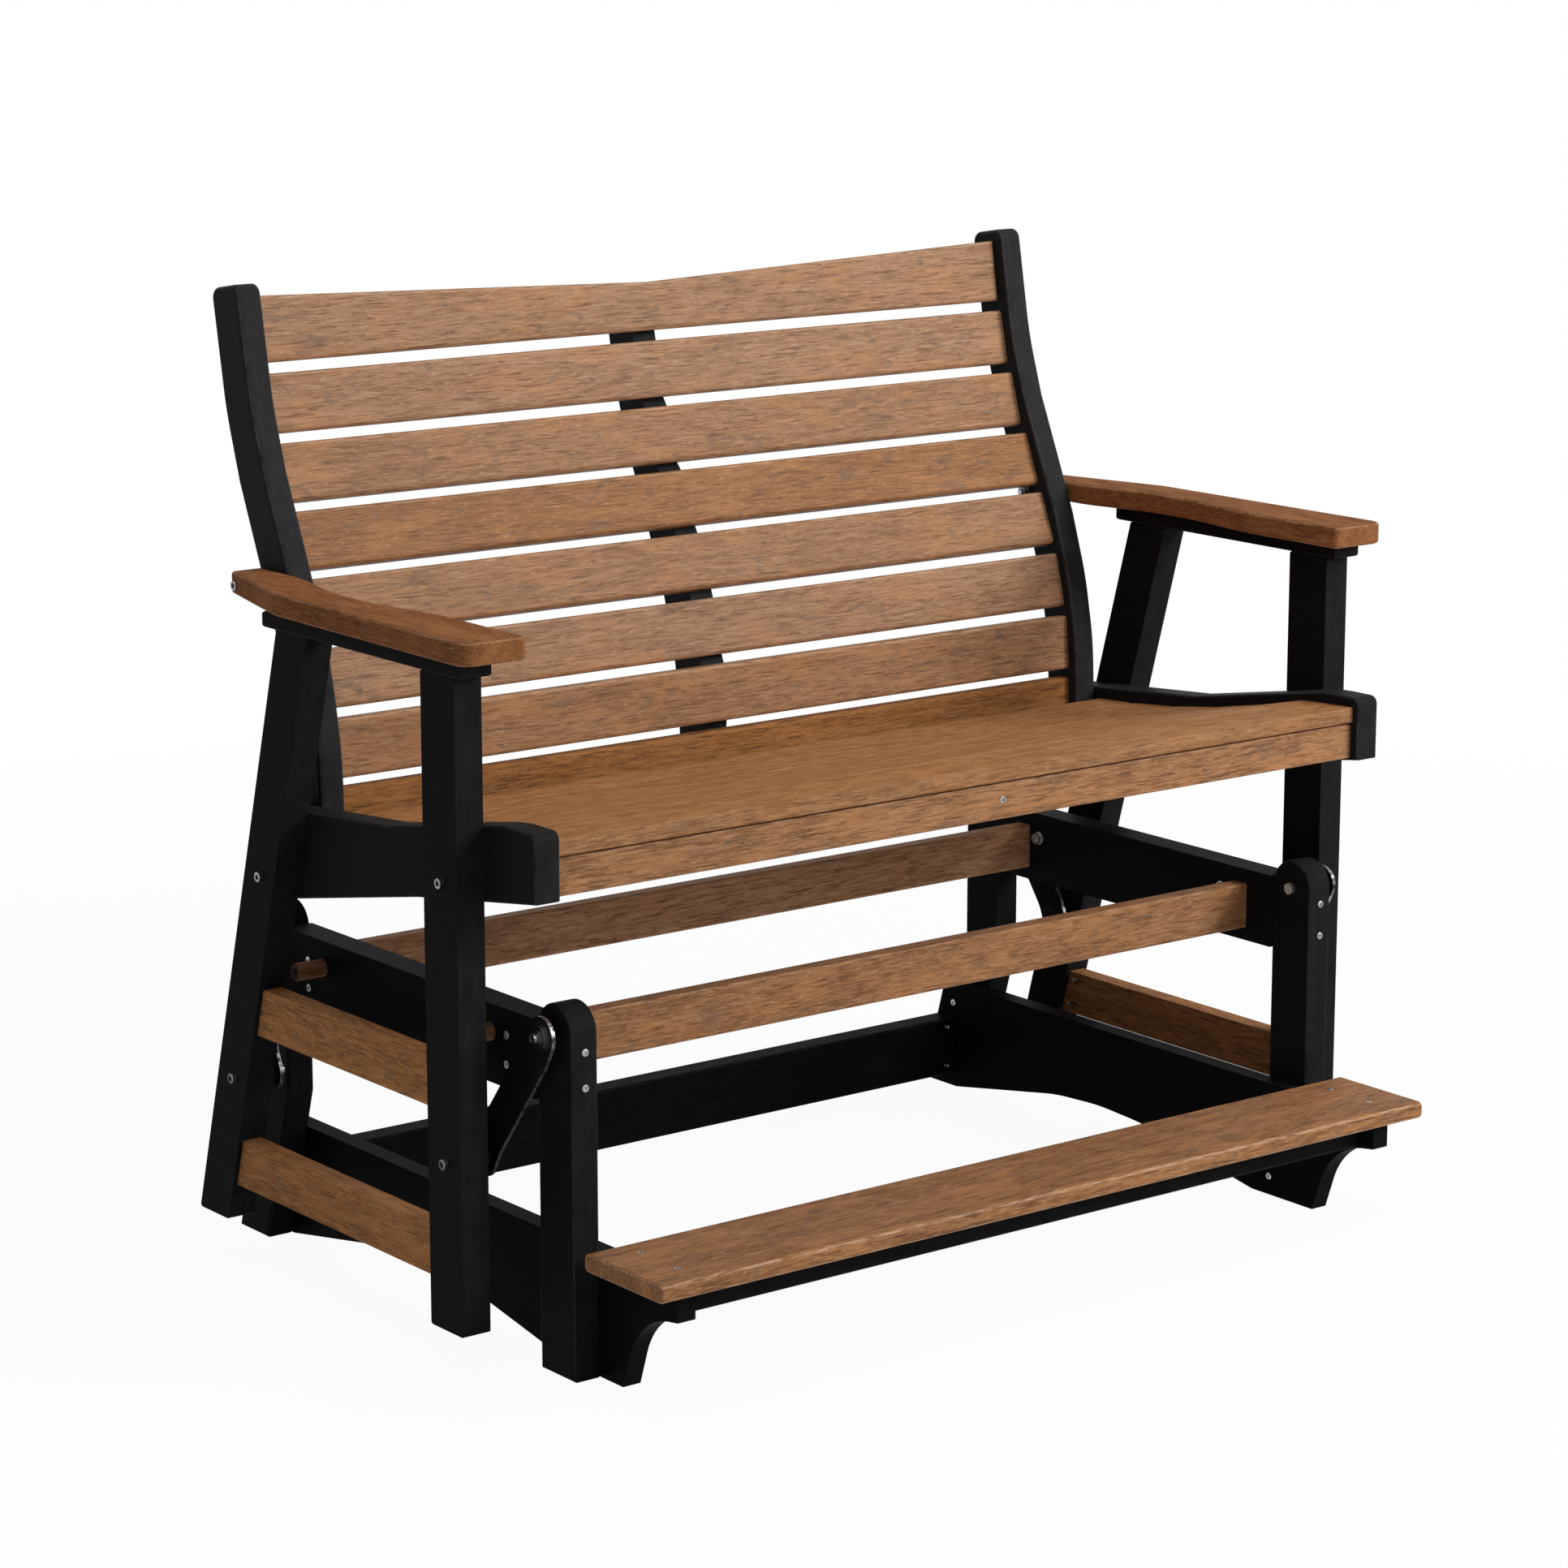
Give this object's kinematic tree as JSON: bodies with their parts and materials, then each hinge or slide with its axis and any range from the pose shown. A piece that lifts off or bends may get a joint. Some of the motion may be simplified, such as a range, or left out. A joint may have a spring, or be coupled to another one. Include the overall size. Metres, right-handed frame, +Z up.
{
  "type": "glider bench",
  "caption": "Outdoor slatted lumber glider bench with arms, a footboard and a low base; the seat frame hangs from the base on flat steel links and glides front to back",
  "frame": {"origin": "on the ground, under the middle of the object's outer box", "axes": "+X along the bench, to the right of someone facing its front; +Y towards the back; +Z up"},
  "size_m": [1.4612, 0.9455, 1.2402],
  "materials": {
    "black_lumber": "charcoal black poly lumber, faint texture",
    "brown_lumber": "mid brown wood-grained poly lumber",
    "stainless": "stainless fasteners",
    "link_steel": "black coated flat steel with brighter worn edges",
    "bushing_black": "black nylon"
  },
  "bodies": {
    "base": {"base_board_left": "black_lumber", "base_board_right": "black_lumber", "front_post_left": "black_lumber", "front_post_right": "black_lumber", "rear_post_left": "black_lumber", "rear_post_right": "black_lumber", "upper_side_board_left": "black_lumber", "upper_side_board_right": "black_lumber", "front_cross_rail": "brown_lumber", "rear_cross_rail": "brown_lumber", "lower_cross_rail": "black_lumber", "footboard_cleat": "black_lumber", "footboard": "brown_lumber", "stop_dowels": "brown_lumber", "base_screws": "stainless", "base_bolts": "stainless", "upper_pivot_bushings": "bushing_black"},
    "front_links": {"front_link_left": "link_steel", "front_link_right": "link_steel"},
    "rear_links": {"rear_link_left": "link_steel", "rear_link_right": "link_steel"},
    "seat_frame": {"front_leg_left": "black_lumber", "rear_leg_left": "black_lumber", "arm_rail_left": "black_lumber", "seat_board_left": "black_lumber", "back_stile_left": "black_lumber", "front_leg_right": "black_lumber", "rear_leg_right": "black_lumber", "arm_rail_right": "black_lumber", "seat_board_right": "black_lumber", "back_stile_right": "black_lumber", "armrest_left": "brown_lumber", "upper_side_rail_left": "brown_lumber", "lower_side_rail_left": "brown_lumber", "armrest_right": "brown_lumber", "upper_side_rail_right": "brown_lumber", "lower_side_rail_right": "brown_lumber", "seat_cleat_left": "black_lumber", "seat_cleat_right": "black_lumber", "seat_cleat_centre": "black_lumber", "back_stile_centre": "black_lumber", "back_slat_1": "brown_lumber", "back_slat_2": "brown_lumber", "back_slat_3": "brown_lumber", "back_slat_4": "brown_lumber", "back_slat_5": "brown_lumber", "back_slat_6": "brown_lumber", "back_slat_7": "brown_lumber", "back_slat_8": "brown_lumber", "seat_slat_1": "brown_lumber", "seat_slat_2": "brown_lumber", "seat_slat_3": "brown_lumber", "seat_slat_4": "brown_lumber", "seat_slat_5": "brown_lumber", "seat_slat_6": "brown_lumber", "seat_apron": "brown_lumber", "lower_pivot_bolts": "stainless", "frame_bolts": "stainless", "seat_screws": "stainless", "lower_pivot_bushings": "bushing_black"}
  },
  "joints": [
    {"name": "glide", "type": "hinge", "parent": "base", "child": "front_links", "pos_m": [0, -0.259, 0.419], "axis": [1, 0, 0], "range_deg": [-12, 12]},
    {"name": "rear_link_swing", "type": "hinge", "parent": "base", "child": "rear_links", "pos_m": [0, 0.3755, 0.419], "axis": [1, 0, 0], "range_deg": [-11.5, 11.5]},
    {"name": "seat_rock", "type": "hinge", "parent": "front_links", "child": "seat_frame", "pos_m": [0, -0.1757, 0.2596], "axis": [1, 0, 0], "range_deg": [-15.62, 15.62]}
  ],
  "couplings": [
    {"joint": "rear_link_swing", "follows": "glide", "ratio": 0.9587},
    {"joint": "seat_rock", "follows": "glide", "ratio": -1.3013}
  ]
}
